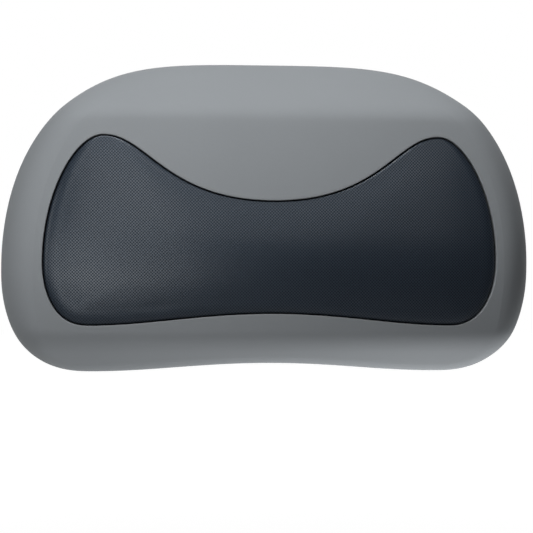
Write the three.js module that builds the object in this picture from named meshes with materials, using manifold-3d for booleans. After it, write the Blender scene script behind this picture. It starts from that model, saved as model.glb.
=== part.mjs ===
// Hot tub headrest: a grey moulded foam pillow with a dark crowned pad let into its front.
// A plate in its back carries two snap pins, which push into flanged sockets in the tub's shell.
// Millimetres. X runs across, Z up, the front faces -Y and the back lies on the tub at Y = 0.
// The origin is midway between the pins, on the flat back.
import * as THREE from 'three';
import { mergeVertices } from 'three/addons/utils/BufferGeometryUtils.js';
import Module from 'manifold-3d';

// Pillow outline, seen from the front.
const BODY_WIDTH = 300;
const BODY_HEIGHT = 175;
const TOP_ABOVE_PINS = 88;
const SHOULDER_IN = 36.7; // shoulder in from the widest point
const SHOULDER_DROP = 24; // and down from the top edge
const SHOULDER_HEADING = -40.5; // degrees, the way the outline runs there
const WIDEST_RISE = 55.4; // widest point above the lowest
const CORNER_IN = 47.5; // lowest points in from the widest
const BOTTOM_ARCH = 5.5; // rise of the bottom edge at the middle

// Pillow depth, from the back plane to the front.
const BODY_DEPTH = 62;
const FOREMOST_DROP = 8; // foremost line of the front below the pins
const SIDE_FALL = 12; // how far the front falls back at the sides
const UPPER_FALL = 11; // and at the top edge
const LOWER_FALL = 20; // and at the bottom edge
const CREASE_DROP = 28.5; // crease of the top slope below the top edge
const CREASE_BLEND = 6; // softness of that crease
const TOP_SLOPE = 1.15; // fall per rise above it
const LOW_CREASE_RISE = 18.5; // crease of the bottom slope above the lowest points
const LOW_CREASE_BLEND = 7; // softness of that crease
const LOW_SLOPE = 1.5; // fall per drop below it
const TOP_ROLL = 10; // radius of the rolled edge at the top
const BOTTOM_ROLL = 5;
const SIDE_ROLL = 20; // width of the rolled edge at the sides
const SIDE_ROLL_DEPTH = 33;
const BACK_ROLL = 6;
const EDGE_WALL = 5; // least wall left between the front and back rolls

// Pad outline and its recess.
const PAD_SIDE_MARGIN = 24.7; // pad's side in from the pillow's widest point
const PAD_TOP_MARGIN = 42.8; // tops of the pad's lobes below the top edge
const PAD_LOW_MARGIN = 27.7; // lowest points of the pad above the pillow's
const PAD_LOBE_IN = 33.2; // tops of the lobes in from the pad's side
const PAD_CORNER_IN = 24.3; // lowest points in from the pad's side
const PAD_WIDEST_RISE = 34.2; // widest point above the lowest
const PAD_ARCH = 6.8; // rise of the pad's bottom edge at the middle
const PAD_WAIST = 61.8; // height of the pad at the middle
const PAD_HEIGHT = 30; // recess floor below the foremost point
const PAD_CROWN = 1.5; // middle of the pad proud of the pillow's front
const PAD_FULLNESS = 2.5; // how soon the pad's crown rises from its edge
const PAD_TOP_SINK = 0.8; // edge of the pad below the pillow's front at the top
const PAD_SIDE_SINK = 0; // and at the sides
const PAD_LOW_SINK = -0.8; // and at the bottom, where it stands proud
const PAD_TOP_ROLL = 1; // width of the pad's rolled edge at the top
const PAD_SIDE_ROLL = 8;
const PAD_LOW_ROLL = 8;
const PAD_TOP_ROLL_DEPTH = 1;
const PAD_SIDE_ROLL_DEPTH = 2.2;
const PAD_LOW_ROLL_DEPTH = 2.4;
const PAD_INNER_ROLL = 0.4; // least roll of what the cover hides
const PAD_RIDGE_IN = 50; // ends of the crown's ridge in from the pad's sides
const GROOVE = 0.7; // gap round the pad
const LIP_ROLL = 1; // rounded edge of the recess
const COVER_THICKNESS = 1.4;
const BOARD_THICKNESS = 3;

// Anchor plate in the back.
const PLATE_WALL = 3;
const PANEL_CORNER = 8;
const RIM_WIDTH = 12; // rim held under the foam
const FOAM_LIP = 3; // foam over the rim
const WELL_ROOM = 2; // room round a socket flange in its well
const WELL_WALL = 2.5;
const WELL_MARGIN = 4.5; // exposed panel above and below a well
const KEY_HOLE = 7; // holes in the rim that the foam grows through
const KEY_SPACING = 60;

// Snap pins, their screws and washers.
const PIN_SPACING = 150;
const PIN_SHANK = 12;
const PIN_NECK = 9;
const PIN_REACH = 28; // tip of a pin past the back plane
const NECK_REACH = 16; // middle of the neck past the back plane
const NECK_LENGTH = 5;
const NECK_TAPER = 1.5;
const HEAD_BAND = 1.5; // straight band of the head behind its nose
const COLLAR_DIAMETER = 18;
const COLLAR_THICKNESS = 1.8;
const SCREW_DIAMETER = 5;
const SCREW_GRIP = 11; // screw's length inside the pin
const SCREW_TIP_ROOM = 2;
const SCREW_HEAD_DIAMETER = 9.5;
const SCREW_HEAD_HEIGHT = 3.5;
const SCREW_KEY = 3; // hexagon key, across flats
const SCREW_KEY_DEPTH = 2;
const WASHER_DIAMETER = 12;
const WASHER_THICKNESS = 1.2;

// Sockets in the tub's shell.
const SHELL_THICKNESS = 6;
const BARREL_DIAMETER = 21.5;
const BARREL_END = 3; // closed end of the cup
const FLANGE_DIAMETER = 30;
const FLANGE_THICKNESS = 2;
const FLANGE_ROOM = 0.5; // between a flange and a pin's collar
const GASKET_THICKNESS = 1.2;
const TIP_ROOM = 2; // between a pin's tip and the cup's end
const LEAD_IN = 1; // chamfer at the socket's mouth
const NUT_ACROSS_FLATS = 32;
const NUT_THICKNESS = 7;
const NUT_CHAMFER = 1.5;
const RING_SECTION = 3.4;
const RING_SIDE_ROOM = 0.6;

// Clearances.
const GAP = 0.3; // between pieces that touch
const PIN_ROOM = 0.4; // radial, pin in socket
const SCREW_ROOM = 0.3; // radial, screw in its holes

// Fineness of the faceted forms.
const STEPS_PER_ARC = 8;
const ROUND_SIDES = 22;
const KEY_SIDES = 8;
const CORNER_STEPS = 2;
const ROLL_STEPS = 3;
const BACK_STEPS = 2;
const NOSE_STEPS = 4;
const FRONT_RINGS = 3;
const PAD_ROLL_STEPS = 3;
const PAD_TOP_RINGS = [0.3, 0.6, 0.87]; // from the rolled edge to the ridge, as shares of the way
const CUT_THROUGH = 1; // how far a cutting shape runs past what it cuts
const WELD = 1e-4; // points nearer than this are one

const wasm = await Module();
wasm.setup();

// Solids for joining and cutting

function solidOf(geometry) {
  const bare = geometry.clone();
  for (const name of Object.keys(bare.attributes)) {
    if (name !== 'position') bare.deleteAttribute(name);
  }
  const merged = mergeVertices(bare, WELD);
  const mesh = new wasm.Mesh({
    numProp: 3,
    vertProperties: merged.attributes.position.array,
    triVerts: new Uint32Array(merged.index.array),
  });
  return new wasm.Manifold(mesh);
}

function geometryOf(solid) {
  const mesh = solid.getMesh();
  const geometry = new THREE.BufferGeometry();
  geometry.setAttribute('position', new THREE.BufferAttribute(mesh.vertProperties, 3));
  geometry.setIndex(new THREE.BufferAttribute(mesh.triVerts, 1));
  return geometry;
}

// Outlines: knots joined by cubic arcs, right half first, then its mirror image

// A knot lies at x, z, the outline runs through it at a heading in degrees, and its two pulls
// are the lengths of the arcs' handles as shares of the distances to its neighbours.
function knot(x, z, heading, pullBefore, pullAfter) {
  const angle = THREE.MathUtils.degToRad(heading);
  const way = new THREE.Vector2(Math.cos(angle), Math.sin(angle));
  return { at: new THREE.Vector2(x, z), way, pullBefore, pullAfter };
}

function outlineThrough(knots) {
  const half = [];
  for (let i = 1; i < knots.length; i += 1) {
    const from = knots[i - 1];
    const to = knots[i];
    const chord = from.at.distanceTo(to.at);
    const arc = new THREE.CubicBezierCurve(
      from.at,
      from.at.clone().addScaledVector(from.way, from.pullAfter * chord),
      to.at.clone().addScaledVector(to.way, -to.pullBefore * chord),
      to.at,
    );
    half.push(...arc.getPoints(STEPS_PER_ARC).slice(i === 1 ? 0 : 1));
  }
  const mirrored = half.slice(1, -1).reverse();
  return [...half, ...mirrored.map((p) => new THREE.Vector2(-p.x, p.y))];
}

// Outward direction of the outline at each of its points.
function outwardOf(outline) {
  return outline.map((_, i) => {
    const before = outline.at(i - 1);
    const after = outline[(i + 1) % outline.length];
    return new THREE.Vector2(before.y - after.y, after.x - before.x).normalize();
  });
}

// A size at each point of an outline, by the way it faces there: up, sideways or down.
function byFacing(outward, top, side, low) {
  return outward.map((way) => THREE.MathUtils.lerp(side, way.y > 0 ? top : low, way.y * way.y));
}

function insetOutline(outline, distance) {
  const outward = outwardOf(outline);
  return outline.map((p, i) => p.clone().addScaledVector(outward[i], -distance));
}

const bodyHalf = BODY_WIDTH / 2;
const bodyLow = TOP_ABOVE_PINS - BODY_HEIGHT;
const bodyOutline = outlineThrough([
  knot(0, TOP_ABOVE_PINS, 0, 0, 0.467),
  knot(bodyHalf - SHOULDER_IN, TOP_ABOVE_PINS - SHOULDER_DROP, SHOULDER_HEADING, 0.334, 0.267),
  knot(bodyHalf, bodyLow + WIDEST_RISE, -90, 0.469, 0.385),
  knot(bodyHalf - CORNER_IN, bodyLow, 180, 0.491, 0.366),
  knot(0, bodyLow + BOTTOM_ARCH, 180, 0.385, 0),
]);

const padHalf = bodyHalf - PAD_SIDE_MARGIN;
const padLow = bodyLow + PAD_LOW_MARGIN;
const recessFloor = BODY_DEPTH - PAD_HEIGHT;
const recessOutline = outlineThrough([
  knot(0, padLow + PAD_ARCH + PAD_WAIST, 0, 0, 0.595),
  knot(padHalf - PAD_LOBE_IN, TOP_ABOVE_PINS - PAD_TOP_MARGIN, 0, 0.24, 0.2),
  knot(padHalf, padLow + PAD_WIDEST_RISE, -90, 0.484, 0.294),
  knot(padHalf - PAD_CORNER_IN, padLow, 180, 0.477, 0.311),
  knot(0, padLow + PAD_ARCH, 180, 0.385, 0),
]);

// Front surface: depth in front of the back plane

function softLeast(a, b, blend) {
  const share = THREE.MathUtils.clamp(0.5 + (0.5 * (b - a)) / blend, 0, 1);
  return THREE.MathUtils.lerp(b, a, share) - blend * share * (1 - share);
}

const foremost = -FOREMOST_DROP;
const creaseHeight = TOP_ABOVE_PINS - CREASE_DROP;
const lowCreaseHeight = bodyLow + LOW_CREASE_RISE;

function facingDepth(z) {
  const rise = (z - foremost) / (TOP_ABOVE_PINS - foremost);
  const drop = (foremost - z) / (foremost - bodyLow);
  return BODY_DEPTH - (z > foremost ? UPPER_FALL * rise * rise : LOWER_FALL * drop * drop);
}

function frontDepth(x, z) {
  const topSlope = facingDepth(creaseHeight) - TOP_SLOPE * (z - creaseHeight);
  const lowSlope = facingDepth(lowCreaseHeight) - LOW_SLOPE * (lowCreaseHeight - z);
  const upper = softLeast(facingDepth(z), topSlope, CREASE_BLEND);
  const across = x / bodyHalf;
  return softLeast(upper, lowSlope, LOW_CREASE_BLEND) - SIDE_FALL * across * across;
}

// Rings of points, and closed forms lofted through them

function ringAt(outline, depthAt) {
  return outline.map((p, i) => new THREE.Vector3(p.x, -depthAt(p, i), p.y));
}

// Faces that fill a ring from left to right, between its upper and lower points. They face back.
function fillRing(count) {
  const faces = [];
  const upper = (column) => (column + count) % count;
  const lower = (column) => count / 2 - column;
  for (let column = -count / 4; column < count / 4; column += 1) {
    const next = column + 1;
    if (upper(next) !== lower(next)) faces.push([upper(column), upper(next), lower(next)]);
    if (upper(column) !== lower(column)) faces.push([upper(column), lower(next), lower(column)]);
  }
  return faces;
}

// Rings run from the back to the front, clockwise as the front is seen, and both ends are filled.
function loft(rings) {
  const count = rings[0].length;
  const front = count * (rings.length - 1);
  const faces = fillRing(count).flat();
  for (let behind = 0; behind < front; behind += count) {
    const ahead = behind + count;
    for (let j = 0; j < count; j += 1) {
      const next = (j + 1) % count;
      faces.push(behind + j, ahead + j, ahead + next);
      faces.push(behind + j, ahead + next, behind + next);
    }
  }
  for (const [a, b, c] of fillRing(count)) faces.push(front + a, front + c, front + b);
  const geometry = new THREE.BufferGeometry().setFromPoints(rings.flat());
  geometry.setIndex(faces);
  return geometry;
}

// Solid with the same outline from one depth to another, its front and back flat.
function slab(outline, backDepth, frontDepthAt) {
  const shape = new THREE.Shape(outline);
  const geometry = new THREE.ExtrudeGeometry(shape, {
    depth: frontDepthAt - backDepth,
    bevelEnabled: false,
    steps: 1,
  });
  geometry.rotateX(Math.PI / 2);
  geometry.translate(0, -backDepth, 0);
  return geometry;
}

// Round and hexagonal pieces stand on a pin's line, along Y.
function turned(profile, sides = ROUND_SIDES) {
  const points = profile.map(([radius, y]) => new THREE.Vector2(radius, y));
  return new THREE.LatheGeometry(points, sides);
}

function rod(diameter, fromY, toY, sides = ROUND_SIDES) {
  const geometry = new THREE.CylinderGeometry(diameter / 2, diameter / 2, toY - fromY, sides);
  return geometry.translate(0, (fromY + toY) / 2, 0);
}

function hexagonRod(acrossFlats, fromY, toY) {
  return rod(acrossFlats / Math.cos(Math.PI / 6), fromY, toY, 6);
}

function ringPiece(innerDiameter, outerDiameter, fromY, toY) {
  const inner = innerDiameter / 2;
  const outer = outerDiameter / 2;
  return turned([
    [inner, fromY],
    [outer, fromY],
    [outer, toY],
    [inner, toY],
    [inner, fromY],
  ]);
}

function roundedRectangle(width, height, corner) {
  const right = width / 2;
  const top = height / 2;
  const shape = new THREE.Shape();
  shape.moveTo(-right + corner, top);
  shape.lineTo(right - corner, top);
  shape.absarc(right - corner, top - corner, corner, Math.PI / 2, 0, true);
  shape.lineTo(right, -top + corner);
  shape.absarc(right - corner, -top + corner, corner, 0, -Math.PI / 2, true);
  shape.lineTo(-right + corner, -top);
  shape.absarc(-right + corner, -top + corner, corner, -Math.PI / 2, -Math.PI, true);
  shape.lineTo(-right, top - corner);
  shape.absarc(-right + corner, top - corner, corner, Math.PI, Math.PI / 2, true);
  return shape.getPoints(CORNER_STEPS);
}

// Places along Y of the stack on each pin's line, from the tub's shell to the foam

const flangeBack = -(GASKET_THICKNESS + GAP);
const flangeFront = flangeBack - FLANGE_THICKNESS;
const collarBack = flangeFront - FLANGE_ROOM;
const collarFront = collarBack - COLLAR_THICKNESS;
const wellFloor = collarFront - GAP;
const wellOuter = wellFloor - PLATE_WALL;
const washerBack = wellOuter - GAP;
const washerFront = washerBack - WASHER_THICKNESS;
const headBack = washerFront - GAP;
const headFront = headBack - SCREW_HEAD_HEIGHT;
const screwTip = collarFront + SCREW_GRIP;
const screwHole = SCREW_DIAMETER + 2 * SCREW_ROOM;
const wellDiameter = FLANGE_DIAMETER + 2 * WELL_ROOM;
const bossDiameter = wellDiameter + 2 * WELL_WALL;
const pinLines = [-PIN_SPACING / 2, PIN_SPACING / 2];

// Anchor plate: a shallow tray whose rim lies under the foam

const panelWidth = PIN_SPACING + bossDiameter;
const panelHeight = bossDiameter + 2 * WELL_MARGIN;
const plateWidth = panelWidth + 2 * RIM_WIDTH;
const plateHeight = panelHeight + 2 * RIM_WIDTH;
const rimBack = FOAM_LIP + GAP;
const rimFront = rimBack + PLATE_WALL;
const keyRow = (plateHeight - RIM_WIDTH) / 2;
const keyPlaces = [-1, 0, 1].flatMap((step) => [
  [step * KEY_SPACING, keyRow],
  [step * KEY_SPACING, -keyRow],
]);

// Outline of the exposed panel, grown all round.
function panelOutline(growth) {
  return roundedRectangle(panelWidth + 2 * growth, panelHeight + 2 * growth, PANEL_CORNER + growth);
}

function onPinLines(solid, geometry, join) {
  return pinLines.reduce((result, x) => {
    const piece = solidOf(geometry.clone().translate(x, 0, 0));
    return join ? result.add(piece) : result.subtract(piece);
  }, solid);
}

function keyed(solid, diameter, fromY, toY) {
  return keyPlaces.reduce((result, [x, z]) => {
    const key = rod(diameter, fromY, toY, KEY_SIDES).translate(x, 0, z);
    return result.subtract(solidOf(key));
  }, solid);
}

function makeAnchorPlate() {
  const rim = slab(panelOutline(RIM_WIDTH), rimBack, rimFront);
  const panel = slab(panelOutline(0), 0, rimFront);
  const hollow = slab(panelOutline(-PLATE_WALL), PLATE_WALL, rimFront + CUT_THROUGH);
  let plate = solidOf(rim).add(solidOf(panel)).subtract(solidOf(hollow));
  plate = onPinLines(plate, rod(bossDiameter, wellOuter, 0), true);
  plate = onPinLines(plate, rod(wellDiameter, wellFloor, CUT_THROUGH), false);
  plate = onPinLines(plate, rod(screwHole, wellOuter - CUT_THROUGH, 0), false);
  plate = keyed(plate, KEY_HOLE, -rimFront - CUT_THROUGH, -rimBack + CUT_THROUGH);
  return geometryOf(plate);
}

// Cushion body: rolled edges, sloped top and bottom, a recess for the pad and a pocket for the plate

// The rolled edge is round above and below, and oval at the sides.
function bodyRings() {
  const outward = outwardOf(bodyOutline);
  const rollWidth = byFacing(outward, TOP_ROLL, SIDE_ROLL, BOTTOM_ROLL);
  const rollDepth = byFacing(outward, TOP_ROLL, SIDE_ROLL_DEPTH, BOTTOM_ROLL).map((depth, i) => {
    const room = frontDepth(bodyOutline[i].x, bodyOutline[i].y) - BACK_ROLL - EDGE_WALL;
    return Math.min(depth, room);
  });
  const insetBy = (distanceAt) =>
    bodyOutline.map((p, i) => p.clone().addScaledVector(outward[i], -distanceAt(i)));
  const rings = [];
  for (let step = 0; step <= BACK_STEPS; step += 1) {
    const turn = (step / BACK_STEPS) * (Math.PI / 2);
    const edge = insetBy(() => BACK_ROLL * (1 - Math.sin(turn)));
    rings.push(ringAt(edge, () => BACK_ROLL * (1 - Math.cos(turn))));
  }
  for (let step = 0; step <= ROLL_STEPS; step += 1) {
    const turn = (step / ROLL_STEPS) * (Math.PI / 2);
    const edge = insetBy((i) => rollWidth[i] * (1 - Math.cos(turn)));
    rings.push(ringAt(edge, (p, i) => frontDepth(p.x, p.y) - rollDepth[i] * (1 - Math.sin(turn))));
  }
  const rollEnd = insetBy((i) => rollWidth[i]);
  const lip = insetOutline(recessOutline, -LIP_ROLL);
  for (let step = 1; step <= FRONT_RINGS + 1; step += 1) {
    const between = rollEnd.map((p, i) => p.clone().lerp(lip[i], step / (FRONT_RINGS + 1)));
    rings.push(ringAt(between, (p) => frontDepth(p.x, p.y)));
  }
  rings.push(ringAt(recessOutline, (p) => frontDepth(p.x, p.y) - LIP_ROLL));
  rings.push(ringAt(recessOutline, () => recessFloor));
  return rings;
}

function makeCushionBody() {
  const pillow = solidOf(loft(bodyRings()));
  const pocketFloor = rimFront + GAP;
  const mouth = slab(panelOutline(GAP), -CUT_THROUGH, pocketFloor);
  const undercut = slab(panelOutline(RIM_WIDTH + GAP), FOAM_LIP, pocketFloor);
  const plug = slab(panelOutline(-PLATE_WALL - GAP), PLATE_WALL + GAP, pocketFloor + CUT_THROUGH);
  let pocket = solidOf(mouth).add(solidOf(undercut)).subtract(solidOf(plug));
  pocket = keyed(pocket, KEY_HOLE - 2 * GAP, -pocketFloor - CUT_THROUGH, -FOAM_LIP + CUT_THROUGH);
  pocket = onPinLines(pocket, rod(bossDiameter + 2 * GAP, wellOuter - GAP, CUT_THROUGH), true);
  pocket = onPinLines(pocket, rod(WASHER_DIAMETER + 2 * GAP, headFront - GAP, 0), true);
  return geometryOf(pillow.subtract(pocket));
}

// Pad: cover, foam and board, each one skin further in

const boardBack = recessFloor + GAP;
const boardFront = boardBack + BOARD_THICKNESS;
const ridgeHeight = padLow + PAD_WIDEST_RISE;
const ridgeShare = (padHalf - PAD_RIDGE_IN) / padHalf;

// Rings from the back over the rolled edge to the ridge, one skin in from the pad's outside.
function padRings(skin, backDepth) {
  const wall = insetOutline(recessOutline, GROOVE + skin);
  const outward = outwardOf(wall);
  const inside = (roll) => Math.max(roll - skin, PAD_INNER_ROLL);
  const sink = byFacing(outward, PAD_TOP_SINK, PAD_SIDE_SINK, PAD_LOW_SINK).map((low) => low + skin);
  const width = byFacing(outward, PAD_TOP_ROLL, PAD_SIDE_ROLL, PAD_LOW_ROLL).map(inside);
  const drop = byFacing(outward, PAD_TOP_ROLL_DEPTH, PAD_SIDE_ROLL_DEPTH, PAD_LOW_ROLL_DEPTH).map(inside);
  const insetBy = (share) =>
    wall.map((p, i) => p.clone().addScaledVector(outward[i], -width[i] * share));
  const rings = [ringAt(wall, () => backDepth)];
  for (let step = 0; step <= PAD_ROLL_STEPS; step += 1) {
    const turn = (step / PAD_ROLL_STEPS) * (Math.PI / 2);
    const edge = insetBy(1 - Math.cos(turn));
    rings.push(ringAt(edge, (p, i) => frontDepth(p.x, p.y) - sink[i] - drop[i] * (1 - Math.sin(turn))));
  }
  const rollEnd = insetBy(1);
  const ridge = rollEnd.map((p) => new THREE.Vector2(p.x * ridgeShare, ridgeHeight));
  for (const share of PAD_TOP_RINGS) {
    const crown = 1 - (1 - share) ** PAD_FULLNESS;
    const riseAt = (i) => (PAD_CROWN - skin + sink[i]) * crown - sink[i];
    const inner = rollEnd.map((p, i) => p.clone().lerp(ridge[i], share));
    rings.push(ringAt(inner, (p, i) => frontDepth(p.x, p.y) + riseAt(i)));
  }
  return rings;
}

function makePadCover() {
  const inside = padRings(COVER_THICKNESS, boardBack).reverse();
  const outside = padRings(0, boardBack);
  return loft([...inside, ...outside]);
}

function makePadFoam() {
  return loft(padRings(COVER_THICKNESS + GAP, boardFront + GAP));
}

function makePadBoard() {
  const outline = insetOutline(recessOutline, GROOVE + COVER_THICKNESS + GAP);
  return slab(outline, boardBack, boardFront);
}

// Snap pin with its screw and washer

function makePin() {
  const neckStart = NECK_REACH - NECK_LENGTH / 2;
  const neckEnd = NECK_REACH + NECK_LENGTH / 2;
  const headStart = neckEnd + NECK_TAPER;
  const noseStart = headStart + HEAD_BAND;
  const shank = PIN_SHANK / 2;
  const nose = [];
  for (let step = 1; step < NOSE_STEPS; step += 1) {
    const turn = (step / NOSE_STEPS) * (Math.PI / 2);
    nose.push([shank * Math.cos(turn), noseStart + (PIN_REACH - noseStart) * Math.sin(turn)]);
  }
  return turned([
    [0, screwTip + SCREW_TIP_ROOM],
    [screwHole / 2, screwTip + SCREW_TIP_ROOM],
    [screwHole / 2, collarFront],
    [COLLAR_DIAMETER / 2, collarFront],
    [COLLAR_DIAMETER / 2, collarBack],
    [shank, collarBack],
    [shank, neckStart - NECK_TAPER],
    [PIN_NECK / 2, neckStart],
    [PIN_NECK / 2, neckEnd],
    [shank, headStart],
    [shank, noseStart],
    ...nose,
    [0, PIN_REACH],
  ]);
}

function makeScrew() {
  const head = SCREW_HEAD_DIAMETER / 2;
  const crown = SCREW_HEAD_HEIGHT / 3;
  const screw = turned([
    [0, headFront],
    [head - crown, headFront],
    [head, headFront + crown],
    [head, headBack],
    [SCREW_DIAMETER / 2, headBack],
    [SCREW_DIAMETER / 2, screwTip],
    [0, screwTip],
  ]);
  const key = hexagonRod(SCREW_KEY, headFront - CUT_THROUGH, headFront + SCREW_KEY_DEPTH);
  return geometryOf(solidOf(screw).subtract(solidOf(key)));
}

function makeWasher() {
  return ringPiece(screwHole, WASHER_DIAMETER, washerFront, washerBack);
}

// Socket in the tub's shell, with its gasket, nut and snap ring

const barrel = BARREL_DIAMETER / 2;
const bore = PIN_SHANK / 2 + PIN_ROOM;
const ringMiddle = (PIN_NECK + RING_SECTION) / 2 + GAP;

function makeSocket() {
  const flange = FLANGE_DIAMETER / 2;
  const ringRoom = RING_SECTION / 2 + RING_SIDE_ROOM;
  const ringSeat = ringMiddle + RING_SECTION / 2 + GAP;
  const cupFloor = PIN_REACH + TIP_ROOM;
  return turned([
    [0, cupFloor],
    [bore, cupFloor],
    [bore, NECK_REACH + ringRoom],
    [ringSeat, NECK_REACH + ringRoom],
    [ringSeat, NECK_REACH - ringRoom],
    [bore, NECK_REACH - ringRoom],
    [bore, flangeFront + LEAD_IN],
    [bore + LEAD_IN, flangeFront],
    [flange, flangeFront],
    [flange, flangeBack],
    [barrel, flangeBack],
    [barrel, cupFloor + BARREL_END],
    [0, cupFloor + BARREL_END],
  ]);
}

function makeGasket() {
  return ringPiece(BARREL_DIAMETER + 2 * GAP, FLANGE_DIAMETER, -GASKET_THICKNESS, 0);
}

function makeNut() {
  const start = SHELL_THICKNESS + GAP;
  const end = start + NUT_THICKNESS;
  const corner = NUT_ACROSS_FLATS / 2 / Math.cos(Math.PI / 6);
  const chamfered = turned([
    [0, start],
    [corner - NUT_CHAMFER, start],
    [corner, start + NUT_CHAMFER],
    [corner, end - NUT_CHAMFER],
    [corner - NUT_CHAMFER, end],
    [0, end],
  ]);
  const hexagon = solidOf(hexagonRod(NUT_ACROSS_FLATS, start, end));
  const hole = solidOf(rod(BARREL_DIAMETER + 2 * GAP, start - CUT_THROUGH, end + CUT_THROUGH));
  return geometryOf(hexagon.intersect(solidOf(chamfered)).subtract(hole));
}

function makeSnapRing() {
  const ring = new THREE.TorusGeometry(ringMiddle, RING_SECTION / 2, 8, ROUND_SIDES);
  return ring.rotateX(Math.PI / 2).translate(0, NECK_REACH, 0);
}

// Finishes

const finish = (color, roughness, metalness = 0) =>
  new THREE.MeshStandardMaterial({ color, roughness, metalness });
const greyFoam = finish(0x8f9498, 0.62);
const darkVinyl = finish(0x2c3038, 0.5);
const softFoam = finish(0xd8d2bf, 0.95);
const fibreBoard = finish(0x26282b, 0.7);
const blackPlastic = finish(0x1d1f21, 0.5);
const greyPlastic = finish(0x6f7478, 0.45);
const stainless = finish(0xb9bcc0, 0.3, 1);
const blackRubber = finish(0x17181a, 0.85);

// Assembly

const headrest = new THREE.Group();

function addPiece(name, geometry, material, x = 0) {
  const mesh = new THREE.Mesh(geometry, material);
  mesh.name = name;
  mesh.position.x = x;
  headrest.add(mesh);
}

addPiece('cushion_body', makeCushionBody(), greyFoam);
addPiece('pad_cover', makePadCover(), darkVinyl);
addPiece('pad_foam', makePadFoam(), softFoam);
addPiece('pad_board', makePadBoard(), fibreBoard);
addPiece('anchor_plate', makeAnchorPlate(), blackPlastic);

for (const [i, side] of ['left', 'right'].entries()) {
  const x = pinLines[i];
  addPiece(`pin_${side}`, makePin(), greyPlastic, x);
  addPiece(`pin_screw_${side}`, makeScrew(), stainless, x);
  addPiece(`pin_washer_${side}`, makeWasher(), stainless, x);
  addPiece(`socket_${side}`, makeSocket(), greyPlastic, x);
  addPiece(`socket_gasket_${side}`, makeGasket(), blackRubber, x);
  addPiece(`socket_nut_${side}`, makeNut(), blackPlastic, x);
  addPiece(`snap_ring_${side}`, makeSnapRing(), blackRubber, x);
}

export default headrest;
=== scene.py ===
import math

import bmesh
import bpy
from mathutils import Matrix, Quaternion, Vector
from mathutils.geometry import interpolate_bezier
from mathutils.kdtree import KDTree


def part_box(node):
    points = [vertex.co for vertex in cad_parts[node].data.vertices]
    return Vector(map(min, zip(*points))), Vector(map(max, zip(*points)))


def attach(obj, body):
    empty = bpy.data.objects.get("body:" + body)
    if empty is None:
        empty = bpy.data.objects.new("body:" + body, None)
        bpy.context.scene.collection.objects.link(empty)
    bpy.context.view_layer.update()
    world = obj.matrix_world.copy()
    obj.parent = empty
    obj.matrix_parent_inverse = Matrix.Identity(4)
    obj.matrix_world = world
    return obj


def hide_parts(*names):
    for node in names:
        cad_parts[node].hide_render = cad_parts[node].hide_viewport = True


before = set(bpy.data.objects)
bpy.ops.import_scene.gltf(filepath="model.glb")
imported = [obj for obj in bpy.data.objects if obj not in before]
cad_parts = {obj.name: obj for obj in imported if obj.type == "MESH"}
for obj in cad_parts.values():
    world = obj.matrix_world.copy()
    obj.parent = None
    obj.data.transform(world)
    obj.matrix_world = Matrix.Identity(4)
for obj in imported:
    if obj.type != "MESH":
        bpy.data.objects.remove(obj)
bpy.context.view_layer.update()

# Tub sockets: flanged blind cups of moulded grey plastic that stay in the tub's shell.
# A coarse thread round each barrel takes its nut, and a groove in its bore keeps the snap ring.
# Each is drawn out of a disc ring by ring along the pin's line, and its thread is wound on after.
MM = 0.001
SIDES = ("left", "right")
PIN_LINE = {side: sum(corner.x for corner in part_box("socket_" + side)) / 2 for side in SIDES}
FLANGE_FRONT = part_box("socket_left")[0].y
SOCKET_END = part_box("socket_left")[1].y
FLANGE_RADIUS = (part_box("socket_left")[1].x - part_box("socket_left")[0].x) / 2
FLANGE_BACK = FLANGE_FRONT + 2 * MM
BORE_RADIUS = 6.4 * MM
BORE_LEAD_IN = 1 * MM
CUP_FLOOR = SOCKET_END - 3 * MM
RING_PLACE = 16 * MM
RING_ROOM = 2.3 * MM
RING_SEAT = 8.5 * MM
THREAD_CREST = 10.75 * MM
THREAD_ROOT = 9.9 * MM
THREAD_PITCH = 2.5 * MM
THREAD_START = 1 * MM
THREAD_STOP = 30 * MM
THREAD_FOOT = 0.45
THREAD_TIP = 0.12
THREAD_SINK = 0.2
END_DISH_RADIUS = 7 * MM
END_DISH_DEPTH = 0.6 * MM
GATE_RADIUS = 1.2 * MM
SOFT_EDGE = 0.3 * MM
ROUND_SIDES = 64
SHARP_ANGLE = math.radians(35)
TOUCHING = 1e-6
GREY_PLASTIC = (0.162, 0.174, 0.185, 1)
SOCKET_ROUGHNESS = 0.42
SOCKET_GRAIN = 0.25 * MM
PLASTIC_IOR = 1.5
PLASTIC_SHADES = (0.86, 1.1)
FLOW_MARK = 14 * MM
FLOW_ROUGHNESS = 0.1
GRAIN_ROUGHNESS = 0.16
GRAIN_DEPTH = 0.05 * MM
GRAIN_BUMP = 0.5


def deselect_all():
    """Leave nothing selected, so that the next operator acts on its own piece alone."""
    bpy.ops.object.select_all(action="DESELECT")


def pick(piece):
    """Select one piece and make it the active one."""
    deselect_all()
    piece.select_set(True)
    bpy.context.view_layer.objects.active = piece


def named(name):
    """Name the primitive that was just added, with its place put into its mesh."""
    bpy.ops.object.transform_apply(location=True, rotation=True, scale=True)
    piece = bpy.context.object
    piece.name = name
    piece.data.name = name
    return piece


def finish_with(piece, kind, **settings):
    """Add a modifier of a kind, set it and apply it."""
    pick(piece)
    bpy.ops.object.modifier_add(type=kind)
    modifier = piece.modifiers[-1]
    for name, value in settings.items():
        setattr(modifier, name, value)
    bpy.ops.object.modifier_apply(modifier=modifier.name)


def soften(piece, width, segments=2):
    """Round every sharp edge and shade the rest smooth."""
    finish_with(piece, "BEVEL", width=width, segments=segments, limit_method="ANGLE",
                angle_limit=SHARP_ANGLE, harden_normals=False)
    shade(piece)


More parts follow.
